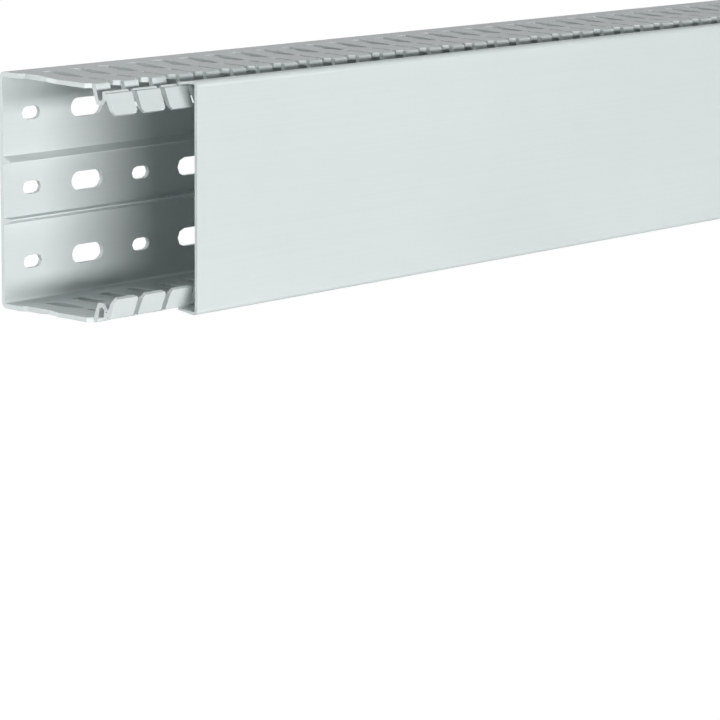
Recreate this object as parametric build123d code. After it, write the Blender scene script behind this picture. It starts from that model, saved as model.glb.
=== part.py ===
"""Slotted wiring duct: a U channel with slotted side walls and a clip-on cover, laid on one side wall.

X runs along the duct, +Y points to the perforated floor and -Y to the cover, and Z is up.
The origin is the bottom centre of the box around both pieces. Lengths are in millimetres.
In sections, a depth is measured from the back of the floor towards the face of the cover,
and a height from the middle of the duct towards a side wall.
"""
import math
import os

from build123d import *

# Overall sizes
duct_length = 500.0            # one length of channel
cover_length = 500.0
duct_width = 79.0              # over the two side walls, at the floor
duct_depth = 60.0              # from the back of the floor to the face of the cover
cover_shift = 32.0             # how far the cover stands past the right end of the channel

# Channel walls
floor_thickness = 1.6
wall_thickness = 1.6
outer_corner_radius = 2.2
inner_corner_radius = 0.8
step_place = 17.5              # depth at which the side wall steps inwards
step_run = 4.0
step_inset = 0.4
wall_lean = 0.2                # further inset between the step and the groove

# Groove along the side wall, and the crest, notch, nose and lip of each finger
groove_place = 14.0            # middle of the groove, back from the face of the cover
groove_mouth = 2.0             # half width of the groove at its mouth
groove_floor = 0.8             # half width of the groove at its floor
groove_fall = 5.3              # how deep the groove is
groove_wall = 1.4
groove_under = 1.6             # half width of the groove's underside
groove_rim_fall = 1.1          # rim of the groove below the crest
crest_run = 4.3                # from the middle of the groove to the crest
crest_drop = 2.2               # crest below the widest part of the side wall
notch_run = 0.7                # from the crest to the notch that takes the cover's bead
notch_fall = 1.5
notch_wall = 1.2
root_inset = 0.2
nose_run = 0.9                 # from the notch to the nose that holds the bead
nose_rise = 1.0
lip_thickness = 1.4
lip_run = 3.0                  # how far the lip leans forward
lip_fall = 7.0                 # how far the lip reaches down into the duct

# Two small ribs along the inside of the floor
rib_place = 9.2                # square side of each rib, from the middle
rib_height = 4.0
rib_top = 0.5
rib_foot = 2.2

# Slots in the side walls
slot_pitch = 12.5
first_slot = -0.9              # middle of the slot that the left end cuts through
window_width = 5.0
window_place = 10.0            # depth at which the window begins
window_run = 11.5              # full-width part of the window
window_taper = 6.0
window_chamfer = 1.0
web_width = 2.0                # bridge between the window and the open slot
slot_width = 2.1
neck_hole_width = 6.2          # slot width beside the narrow neck of each finger
neck_hole_back = 3.6           # from the middle of the groove towards the floor
neck_hole_front = 3.3          # from the middle of the groove towards the crest
neck_shoulder = 1.4
lip_corner_width = 0.8         # corners cut off the free edge of each lip
lip_corner_height = 1.0

# Perforation of the floor: rows of round-ended slots, a small and a large one in turn
row_pitch = 25.0
hole_pitch = 25.0
first_hole = 12.5
small_hole_length = 8.2
small_hole_width = 4.4
large_hole_length = 14.2
large_hole_width = 6.4
hole_flats = 4                 # flats round each end
fixing_step = 3                # every third large slot takes a fixing screw, with true round ends

# Cover
cover_inset = 0.7              # face of the cover narrower than the duct, each side
cover_thickness = 1.2
cover_corner_radius = 1.8
cover_inner_radius = 0.6
flange_lean = 1.15             # how far the flange leans inwards
bead_offset = 0.1              # free edge of the flange, in front of the bottom of the notch
bead_width = 0.1
bead_clearance = 0.45          # between the bead and the bottom of the notch
flange_clearance = 0.25        # between the flange and the nose

# Places that follow from the sizes above
half_width = duct_width / 2
total_length = (duct_length + cover_length) / 2 + cover_shift
channel_left = -total_length / 2
cover_left = total_length / 2 - cover_length
groove_middle = duct_depth - groove_place
groove_face = half_width - step_inset - wall_lean
crest = (groove_middle + crest_run, half_width - crest_drop)
notch = (crest[0] + notch_run, crest[1] - notch_fall)
nose = (notch[0] + nose_run, notch[1] + nose_rise)
lip_end = (nose[0] + lip_run, nose[1] - lip_fall)
lip_length = math.hypot(lip_run, lip_fall)
lip_back = (
    lip_end[0] - lip_thickness * lip_fall / lip_length,
    lip_end[1] - lip_thickness * lip_run / lip_length,
)
cover_half_width = half_width - cover_inset
cut_margin = 1.0


def channel_half():
    """Upper half of the channel's section, as (depth, height) points."""
    outer = [
        (0, 0),
        (0, half_width),
        (step_place, half_width),
        (step_place + step_run, half_width - step_inset),
        (groove_middle - groove_mouth, groove_face),
        (groove_middle - groove_floor, groove_face - groove_fall),
        (groove_middle + groove_floor, groove_face - groove_fall),
        (groove_middle + groove_mouth, crest[1] - groove_rim_fall),
        crest,
        notch,
        nose,
        lip_end,
    ]
    under_height = groove_face - groove_fall - groove_wall
    inner = [
        lip_back,
        (notch[0] - root_inset, notch[1] - notch_wall),
        (groove_middle + neck_hole_front, notch[1] - notch_wall),
        (groove_middle + groove_under, under_height),
        (groove_middle - groove_under, under_height),
        (groove_middle - neck_hole_back, groove_face - wall_thickness),
        (floor_thickness, half_width - wall_thickness),
        (floor_thickness, rib_place + rib_foot),
        (floor_thickness + rib_height, rib_place + rib_top),
        (floor_thickness + rib_height, rib_place),
        (floor_thickness, rib_place),
        (floor_thickness, 0),
    ]
    return outer + inner


def cover_half():
    """Upper half of the cover's section, as (depth, height) points."""
    flange_back = notch[0] + bead_offset
    bead_height = notch[1] + bead_clearance
    inside = duct_depth - cover_thickness
    return [
        (inside, 0),
        (duct_depth, 0),
        (duct_depth, cover_half_width),
        (flange_back, cover_half_width - flange_lean),
        (flange_back, bead_height),
        (flange_back + bead_width, bead_height),
        (nose[0], nose[1] + flange_clearance),
        (inside, cover_half_width - cover_thickness),
    ]


def rounded(half, place, radius):
    """Half section with the corner at this depth and height rounded."""
    corners = [
        corner
        for corner in half.vertices()
        if math.isclose(corner.X, place[0], abs_tol=1e-4) and math.isclose(corner.Y, place[1], abs_tol=1e-4)
    ]
    return fillet(corners, radius)


def both_halves(half):
    """Whole section from its upper half."""
    return half + mirror(half, about=Plane.XZ)


def drawn_along(section, left, length):
    """Section drawn out along X from its left end."""
    across = Plane(
        origin=(left + length, duct_depth / 2, half_width),
        x_dir=(0, -1, 0),
        z_dir=(-1, 0, 0),
    )
    return extrude(across * section, amount=length, dir=(-1, 0, 0))


def channel_body():
    """The channel before its slots and holes are punched."""
    half = Polygon(*channel_half(), align=None)
    half = rounded(half, (0, half_width), outer_corner_radius)
    half = rounded(half, (floor_thickness, half_width - wall_thickness), inner_corner_radius)
    return drawn_along(both_halves(half), channel_left, duct_length)


def window_outline():
    """Closed window near the floor, as (along, depth) points."""
    shoulder = window_place + window_run
    right = [
        (window_width / 2 - window_chamfer, window_place),
        (window_width / 2, window_place + window_chamfer),
        (window_width / 2, shoulder),
        (slot_width / 2, shoulder + window_taper),
    ]
    return right + [(-along, depth) for along, depth in reversed(right)]


def open_slot_outline():
    """Slot between two fingers, open at the free edge, as (along, depth) points."""
    start = window_place + window_run + window_taper + web_width
    wide_start = groove_middle - neck_hole_back
    wide_end = groove_middle + neck_hole_front
    right = [
        (slot_width / 2, start),
        (slot_width / 2, wide_start - neck_shoulder),
        (neck_hole_width / 2, wide_start),
        (neck_hole_width / 2, wide_end),
        (slot_width / 2, wide_end),
        (slot_width / 2, duct_depth),
    ]
    return right + [(-along, depth) for along, depth in reversed(right)]


def slot_places():
    """Middle of every slot, measured from the left end of the channel."""
    count = int((duct_length + neck_hole_width / 2 - first_slot) // slot_pitch) + 1
    return [first_slot + slot_pitch * number for number in range(count)]


def slot_cutters():
    """Cutters for the windows and open slots of both side walls."""
    reach = half_width - lip_back[1] + 2 * cut_margin
    slots = Sketch() + [
        Pos(place, 0) * Polygon(*outline, align=None)
        for place in slot_places()
        for outline in (window_outline(), open_slot_outline())
    ]
    tops = (duct_width + cut_margin, reach - cut_margin)
    planes = [
        Plane(origin=(channel_left, duct_depth / 2, top), x_dir=(1, 0, 0), z_dir=(0, 0, -1))
        for top in tops
    ]
    return [extrude(plane * slots, amount=reach, dir=(0, 0, -1)) for plane in planes]


def lip_corner_cutter():
    """Cutter that widens every slot at the free edge of both lips."""
    near = slot_width / 2
    slope = lip_corner_width / lip_corner_height
    right = [
        (near, lip_end[1] + lip_corner_height),
        (near + lip_corner_width + slope * cut_margin, lip_end[1] - cut_margin),
    ]
    outline = right + [(-along, height) for along, height in reversed(right)]
    flare = Polygon(*outline, align=None)
    flares = Sketch() + [
        Pos(place, 0) * shape
        for place in slot_places()
        for shape in (flare, mirror(flare, Plane.XZ))
    ]
    front = Plane(origin=(channel_left, -duct_depth / 2, half_width), x_dir=(1, 0, 0), z_dir=(0, -1, 0))
    return extrude(front * flares, amount=duct_depth - notch[0], dir=(0, 1, 0))


def round_ended_slot(length, width):
    """Slot whose round ends are made of short flats."""
    radius = width / 2
    straight = length / 2 - radius
    points = []
    for step in range(hole_flats + 1):
        angle = math.pi * (step / hole_flats - 0.5)
        points.append((straight + radius * math.cos(angle), radius * math.sin(angle)))
    return Polygon(*points, *[(-along, -across) for along, across in points], align=None)


def hole_cutter():
    """Cutter for the three rows of round-ended slots in the floor."""
    small_hole = round_ended_slot(small_hole_length, small_hole_width)
    large_hole = round_ended_slot(large_hole_length, large_hole_width)
    fixing_hole = SlotOverall(large_hole_length, large_hole_width)
    holes = []
    for number in range(int((duct_length - first_hole) // hole_pitch) + 1):
        shape = small_hole
        if number % 2 == 1:
            shape = fixing_hole if number // 2 % fixing_step == 0 else large_hole
        for row in (-row_pitch, 0, row_pitch):
            holes.append(Pos(first_hole + hole_pitch * number, row) * shape)
    back = Plane(
        origin=(channel_left, duct_depth / 2 + cut_margin, half_width),
        x_dir=(1, 0, 0),
        z_dir=(0, -1, 0),
    )
    return extrude(back * (Sketch() + holes), amount=floor_thickness + 2 * cut_margin, dir=(0, -1, 0))


def slotted_base():
    """The finished channel."""
    return channel_body() - slot_cutters() - lip_corner_cutter() - hole_cutter()


def snap_cover():
    """The cover, a flat plate with a beaded flange along each side."""
    half = Polygon(*cover_half(), align=None)
    half = rounded(half, (duct_depth, cover_half_width), cover_corner_radius)
    inside = (duct_depth - cover_thickness, cover_half_width - cover_thickness)
    half = rounded(half, inside, cover_inner_radius)
    return drawn_along(both_halves(half), cover_left, cover_length)


os.makedirs("parts", exist_ok=True)
export_step(slotted_base(), "parts/slotted_base.step")
export_step(snap_cover(), "parts/snap_cover.step")
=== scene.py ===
# %% [markdown]
# A slotted wiring duct: a U channel of pale grey PVC, punched with slots along both side walls and with
# three rows of holes in its floor, and a flat cover that snaps over the channel's fingers.
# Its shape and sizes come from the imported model, which this script loads, softens, dresses and lights.
# %% Load the model
import math

import bmesh
import bpy
from mathutils import Euler, Matrix, Vector


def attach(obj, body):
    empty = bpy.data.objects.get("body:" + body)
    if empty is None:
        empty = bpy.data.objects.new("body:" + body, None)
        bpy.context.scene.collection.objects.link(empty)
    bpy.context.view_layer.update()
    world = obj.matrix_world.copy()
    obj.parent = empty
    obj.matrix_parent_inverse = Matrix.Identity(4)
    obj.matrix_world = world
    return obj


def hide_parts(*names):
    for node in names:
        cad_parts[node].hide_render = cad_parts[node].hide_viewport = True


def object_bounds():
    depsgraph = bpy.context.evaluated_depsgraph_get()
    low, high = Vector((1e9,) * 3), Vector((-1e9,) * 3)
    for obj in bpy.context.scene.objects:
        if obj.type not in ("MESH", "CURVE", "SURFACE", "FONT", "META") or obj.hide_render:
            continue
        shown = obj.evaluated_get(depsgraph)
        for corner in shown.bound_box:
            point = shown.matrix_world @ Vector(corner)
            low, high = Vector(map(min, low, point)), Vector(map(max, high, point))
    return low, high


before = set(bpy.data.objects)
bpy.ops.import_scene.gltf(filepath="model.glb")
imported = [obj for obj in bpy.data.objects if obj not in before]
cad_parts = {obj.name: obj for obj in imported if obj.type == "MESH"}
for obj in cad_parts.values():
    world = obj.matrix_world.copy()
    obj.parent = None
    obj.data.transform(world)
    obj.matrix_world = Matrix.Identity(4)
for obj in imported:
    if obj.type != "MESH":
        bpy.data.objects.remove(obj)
cad_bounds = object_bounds()
MM = 0.001
print("model box", cad_bounds)

# %% [markdown]
# Colours are written as the hex values that a screen shows. Cycles works with linear light, so each value is
# turned to linear once, by one function.
# %% Colour helper


def linear(hex_colour, alpha=1.0):
    """Linear colour of a screen hex value such as "d5d7d8"."""
    parts = [int(hex_colour[place:place + 2], 16) / 255 for place in (0, 2, 4)]
    straight = [part / 12.92 if part <= 0.04045 else ((part + 0.055) / 1.055) ** 2.4 for part in parts]
    return (*straight, alpha)


# %% [markdown]
# A material here is a small graph of nodes. One helper adds a node, fills its settings and joins its inputs,
# so that each finish below reads as a list of what feeds what.
# %% Node helper


def add_node(tree, kind, settings=None, inputs=None):
    """Add a node; an input is a plain value or the output socket that feeds it."""
    node = tree.nodes.new(kind)
    for name, value in (settings or {}).items():
        setattr(node, name, value)
    for name, value in (inputs or {}).items():
        socket = node.inputs[name]
        if isinstance(value, bpy.types.NodeSocket):
            tree.links.new(value, socket)
        else:
            socket.default_value = value
    return node


# %% [markdown]
# Both pieces are rigid PVC, extruded through a steel die. The die leaves fine lines that run the whole length,
# a soft sheen along them, and a slow change of tone where the melt cooled unevenly.
# The lines are real relief of a few hundredths of a millimetre, so they are bump and not geometry:
# a noise that is stretched a hundred times along X gives the same look at every size.
# A second and finer noise gives the slight orange peel of the skin.
# %% Extruded PVC

DIE_LINE_SPACING = 0.9       # mm between die lines; real ones are closer, and would not show
CLOUD_SIZE = 60.0            # mm, size of the slow changes of tone
GRAIN_SIZE = 0.35            # mm, orange peel of the skin
CLOUD_SHARE = 0.55           # how much of the change of tone the clouds make, the rest is the lines
LINE_STRETCH = 0.01          # scale of the lines along X
LINE_DEPTH = 0.05 * MM
GRAIN_DEPTH = 0.02 * MM
GRAIN_STRENGTH = 0.08


def extruded_pvc(name, base_hex, shade_hex, roughness, line_strength):
    """Satin extruded PVC with die lines along X."""
    material = bpy.data.materials.new(name)
    material.use_nodes = True
    tree = material.node_tree
    tree.nodes.clear()
    place = add_node(tree, "ShaderNodeTexCoord").outputs["Object"]
    per_metre = 1000.0

    clouds = add_node(tree, "ShaderNodeTexNoise", inputs={
        "Vector": place, "Scale": per_metre / CLOUD_SIZE, "Detail": 2.0, "Roughness": 0.5})
    drawn = add_node(tree, "ShaderNodeMapping", inputs={
        "Vector": place, "Scale": (LINE_STRETCH, 1.0, 1.0)})
    lines = add_node(tree, "ShaderNodeTexNoise", inputs={
        "Vector": drawn.outputs["Vector"], "Scale": per_metre / DIE_LINE_SPACING, "Detail": 3.0,
        "Roughness": 0.55})
    grain = add_node(tree, "ShaderNodeTexNoise", inputs={
        "Vector": place, "Scale": per_metre / GRAIN_SIZE, "Detail": 1.0})

    tone = add_node(tree, "ShaderNodeMath", {"operation": "MULTIPLY_ADD"}, {
        0: lines.outputs["Fac"], 1: 1.0 - CLOUD_SHARE, 2: 0.0})
    both = add_node(tree, "ShaderNodeMath", {"operation": "MULTIPLY_ADD"}, {
        0: clouds.outputs["Fac"], 1: CLOUD_SHARE, 2: tone.outputs["Value"]})
    spread = add_node(tree, "ShaderNodeMapRange", inputs={
        "Value": both.outputs["Value"], "From Min": 0.32, "From Max": 0.68})
    colour = add_node(tree, "ShaderNodeMix", {"data_type": "RGBA"}, {
        "Factor": spread.outputs["Result"], "A": linear(shade_hex), "B": linear(base_hex)})

    sheen = add_node(tree, "ShaderNodeMapRange", inputs={
        "Value": lines.outputs["Fac"], "From Min": 0.3, "From Max": 0.7,
        "To Min": roughness - 0.04, "To Max": roughness + 0.05})
    skin = add_node(tree, "ShaderNodeBump", inputs={
        "Height": grain.outputs["Fac"], "Strength": GRAIN_STRENGTH, "Distance": GRAIN_DEPTH})
    relief = add_node(tree, "ShaderNodeBump", inputs={
        "Height": lines.outputs["Fac"], "Strength": line_strength, "Distance": LINE_DEPTH,
        "Normal": skin.outputs["Normal"]})

    shader = add_node(tree, "ShaderNodeBsdfPrincipled", inputs={
        "Base Color": colour.outputs["Result"],
        "Roughness": sheen.outputs["Result"],
        "Normal": relief.outputs["Normal"],
        "IOR": 1.54,
        "Specular IOR Level": 0.4})
    add_node(tree, "ShaderNodeOutputMaterial", inputs={"Surface": shader.outputs["BSDF"]})
    print("made", name)
    return material


channel_finish = extruded_pvc("channel_pvc", "dbe1e0", "d6dddd", 0.46, 0.10)
cover_finish = extruded_pvc("cover_pvc", "d8dfde", "d3dbda", 0.44, 0.08)

# %% [markdown]
# The imported solids already have the real shape, but every edge of theirs is a hard one. Real PVC comes off
# the saw and the punch with its edges a little worn, and the die draws the corners of the groove round. So a
# copy of each solid is made, its flat faces are joined, and its edges are rounded by fractions of a millimetre.
# Only the rounded edges and the strips of the drawn corners are shaded smooth. The flat faces stay flat,
# because smooth shading would bend the light across them.
# The copy rides on the same body and stands for the imported solid, which is hidden and otherwise left as it is.
# %% Soften and dress the imported solids

EDGE_RADIUS = 0.2 * MM       # wear of a punched or sawn edge
GROOVE_RADIUS = 0.6 * MM     # drawn corners of the groove along each side wall
STRIP_WIDTH = 0.9 * MM       # a face narrower than this belongs to something round
SHARP_BEND = 28.0            # degrees; a sharper edge than this is rounded
CREASE = 50.0                # degrees; what is still sharper after the rounding shades as a crease
FLAT_BEND = 0.5              # degrees; triangles that bend less than this are one flat face
SAME_PLACE = 0.001 * MM      # points closer than this are one point
MIDDLE_HEIGHT = (cad_bounds[0][2] + cad_bounds[1][2]) / 2
BACK = cad_bounds[1][1]

# Where the drawn corners lie in the section, in mm: the least and the greatest depth from the back of the
# floor, then the least and the greatest height from the middle of the duct.
DRAWN_CORNERS = (
    (43.5, 48.5, 31.5, 34.5),    # floor and underside of the groove
    (43.5, 48.5, 38.5, 40.0),    # rim of the groove
    (50.0, 52.2, 35.5, 37.5),    # notch and nose
)


def along_duct(edge):
    """Whether an edge runs along X."""
    start, end = (vertex.co for vertex in edge.verts)
    return abs(start.y - end.y) < SAME_PLACE and abs(start.z - end.z) < SAME_PLACE


def is_drawn_corner(edge):
    """Whether an edge runs along the duct at one of the drawn corners."""
    depth = (BACK - edge.verts[0].co.y) / MM
    height = abs(edge.verts[0].co.z - MIDDLE_HEIGHT) / MM
    return along_duct(edge) and any(
        near < depth < far and low < height < high for near, far, low, high in DRAWN_CORNERS)


def is_strip(face):
    """Whether a face is one of the narrow strips that make up a rounded edge or a drawn corner."""
    longest = max(edge.calc_length() for edge in face.edges)
    return face.calc_area() <= STRIP_WIDTH * longest


def round_edges(form, edges, radius, steps):
    """Round the given edges of a bmesh."""
    bmesh.ops.bevel(form, geom=list(edges), offset=radius, offset_type="OFFSET", segments=steps,
                    profile=0.5, affect="EDGES", clamp_overlap=True, material=-1)


def softened(node_name, body, finish):
    """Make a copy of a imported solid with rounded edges, which stands for it."""
    form = bmesh.new()
    form.from_mesh(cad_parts[node_name].data)
    bmesh.ops.remove_doubles(form, verts=form.verts, dist=SAME_PLACE)
    bmesh.ops.dissolve_limit(
        form, angle_limit=math.radians(FLAT_BEND), verts=form.verts, edges=form.edges)
    round_edges(form, [edge for edge in form.edges if is_drawn_corner(edge)], GROOVE_RADIUS, 3)
    sharp = [edge for edge in form.edges if edge.calc_face_angle(0.0) > math.radians(SHARP_BEND)]
    round_edges(form, sharp, EDGE_RADIUS, 2)
    bmesh.ops.dissolve_degenerate(form, dist=SAME_PLACE, edges=form.edges)
    for face in form.faces:
        face.smooth = is_strip(face)
    for edge in form.edges:
        edge.smooth = edge.calc_face_angle(0.0) < math.radians(CREASE)
    mesh = bpy.data.meshes.new(node_name + "_softened")
    form.to_mesh(mesh)
    form.free()
    mesh.materials.append(finish)
    piece = bpy.data.objects.new(node_name + "_softened", mesh)
    bpy.context.collection.objects.link(piece)
    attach(piece, body)
    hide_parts(node_name)
    mesh.calc_loop_triangles()
    flat = sum(not face.use_smooth for face in mesh.polygons)
    print(piece.name, len(sharp), "sharp edges,", flat, "flat faces,", len(mesh.loop_triangles), "triangles")


softened("slotted_base", "channel", channel_finish)
softened("snap_cover", "cover", cover_finish)

# %% [markdown]
# The floor is a pale sheet, which throws light up at the duct and takes a faint shadow of it. Its own colour
# would render a light grey, so the camera is shown mostly plain white where it looks at the sheet directly,
# and so are mirror and see-through rays: the Light Path node tells such rays from those that light the duct.
# %% Floor

FLOOR_SIZE = 6.0
FLOOR_GAP = 0.2 * MM         # keeps the sheet from sharing a face with the duct's lower side
bpy.ops.mesh.primitive_plane_add(size=FLOOR_SIZE, location=(0.0, 0.0, -FLOOR_GAP))
floor = bpy.context.object
floor.name = "floor_sheet"

WHITE_SHARE = 0.9            # how much of the floor's look is plain white, the rest is the lit sheet
FLOOR_WHITE = 1.09           # makes up for the lit sheet being darker than white


def seen_directly(tree):
    """1 for camera, glossy and transmission rays, and 0 for the rays that light the duct."""
    rays = add_node(tree, "ShaderNodeLightPath")
    glossy_too = add_node(tree, "ShaderNodeMath", {"operation": "ADD"}, {
        0: rays.outputs["Is Camera Ray"], 1: rays.outputs["Is Glossy Ray"]})
    all_three = add_node(tree, "ShaderNodeMath", {"operation": "ADD", "use_clamp": True}, {
        0: glossy_too.outputs["Value"], 1: rays.outputs["Is Transmission Ray"]})
    return all_three.outputs["Value"]


floor_material = bpy.data.materials.new("white_floor")
floor_material.use_nodes = True
floor_tree = floor_material.node_tree
floor_tree.nodes.clear()
floor_paint = add_node(floor_tree, "ShaderNodeBsdfPrincipled", inputs={
    "Base Color": linear("d8d8d8"), "Roughness": 0.9})
floor_white = add_node(floor_tree, "ShaderNodeEmission", inputs={
    "Color": (1.0, 1.0, 1.0, 1.0), "Strength": FLOOR_WHITE})
floor_share = add_node(floor_tree, "ShaderNodeMath", {"operation": "MULTIPLY"}, {
    0: seen_directly(floor_tree), 1: WHITE_SHARE})
floor_mix = add_node(floor_tree, "ShaderNodeMixShader", inputs={
    0: floor_share.outputs["Value"], 1: floor_paint.outputs["BSDF"], 2: floor_white.outputs["Emission"]})
add_node(floor_tree, "ShaderNodeOutputMaterial", inputs={"Surface": floor_mix.outputs["Shader"]})
floor.data.materials.append(floor_material)

# %% [markdown]
# In the photograph the cover and the sawn left edges are the brightest faces, the slotted wall on top is a
# middle grey, and the inside of the channel falls off to dark under the cover. A wide low lamp in front gives
# the bright cover and the shadow that it throws inside. A small far lamp at the left grazes along the duct, so
# it lights the sawn edges and little else. A weaker lamp above lights the top, and the world adds a faint cool
# fill. Two more lamps light the back and the right end, for the views from there.
# %% Lamps and world

box_low, box_high = (Vector(corner) for corner in cad_bounds)
middle = (box_low + box_high) / 2


def soft_lamp(name, place, width, height, power):
    """Area lamp that looks at the middle of the model's box."""
    lamp = bpy.data.lights.new(name, "AREA")
    lamp.shape = "RECTANGLE"
    lamp.size = width
    lamp.size_y = height
    lamp.energy = power
    holder = bpy.data.objects.new(name, lamp)
    holder.location = place
    holder.rotation_euler = (middle - Vector(place)).to_track_quat("-Z", "Y").to_euler()
    bpy.context.collection.objects.link(holder)
    print(name, power, "W")


soft_lamp("front_lamp", (-0.50, -1.9, 0.13), 1.7, 0.20, 35.0)
soft_lamp("left_lamp", (-2.2, 0.0, 0.06), 0.12, 0.12, 11.0)
soft_lamp("top_lamp", (-0.7, 0.5, 0.9), 0.6, 0.6, 3.7)
soft_lamp("back_lamp", (-0.6, 1.9, 0.10), 1.5, 0.14, 20.0)
soft_lamp("right_lamp", (2.1, 0.0, 0.6), 0.5, 0.5, 9.0)

COOL_FILL = (0.80, 0.93, 1.0, 1.0)
FILL_STRENGTH = 0.05

world = bpy.data.worlds.new("pale_room")
bpy.context.scene.world = world
world.use_nodes = True
world_tree = world.node_tree
world_tree.nodes.clear()
room = add_node(world_tree, "ShaderNodeBackground", inputs={
    "Color": COOL_FILL, "Strength": FILL_STRENGTH})
backdrop = add_node(world_tree, "ShaderNodeBackground", inputs={
    "Color": (1.0, 1.0, 1.0, 1.0), "Strength": 1.0})
room_mix = add_node(world_tree, "ShaderNodeMixShader", inputs={
    0: seen_directly(world_tree), 1: room.outputs["Background"], 2: backdrop.outputs["Background"]})
add_node(world_tree, "ShaderNodeOutputWorld", inputs={"Surface": room_mix.outputs["Shader"]})
bpy.context.scene.view_settings.view_transform = "Standard"

# %% [markdown]
# The camera stands to the left of the duct's open end and a little above it, about a metre away, with a long
# lens. Its place and lens were worked out from the straight edges and evenly spaced slots of the photograph.
# The duct runs out of the picture on the right, as it does there.
# %% Camera

CAMERA_PLACE = (-0.9628, -0.7641, 0.19564)
CAMERA_TURN = 47.756         # degrees from +Y towards +X
CAMERA_DROP = 11.433         # degrees below level
CAMERA_ROLL = 0.513          # degrees about its own line of sight
FOCAL_PIXELS = 3204.5        # focal length in pixels of the picture
PICTURE_WIDTH = 720          # pixels

lens = bpy.data.cameras.new("photo_camera")
lens.sensor_width = 36.0
lens.lens = FOCAL_PIXELS / PICTURE_WIDTH * lens.sensor_width
camera = bpy.data.objects.new("photo_camera", lens)
camera.location = CAMERA_PLACE
level = Euler((math.radians(90.0 - CAMERA_DROP), 0.0, math.radians(-CAMERA_TURN))).to_matrix()
camera.rotation_euler = (level @ Matrix.Rotation(math.radians(CAMERA_ROLL), 3, "Z")).to_euler()
bpy.context.collection.objects.link(camera)
bpy.context.scene.camera = camera
print("lens", round(lens.lens, 1), "mm")
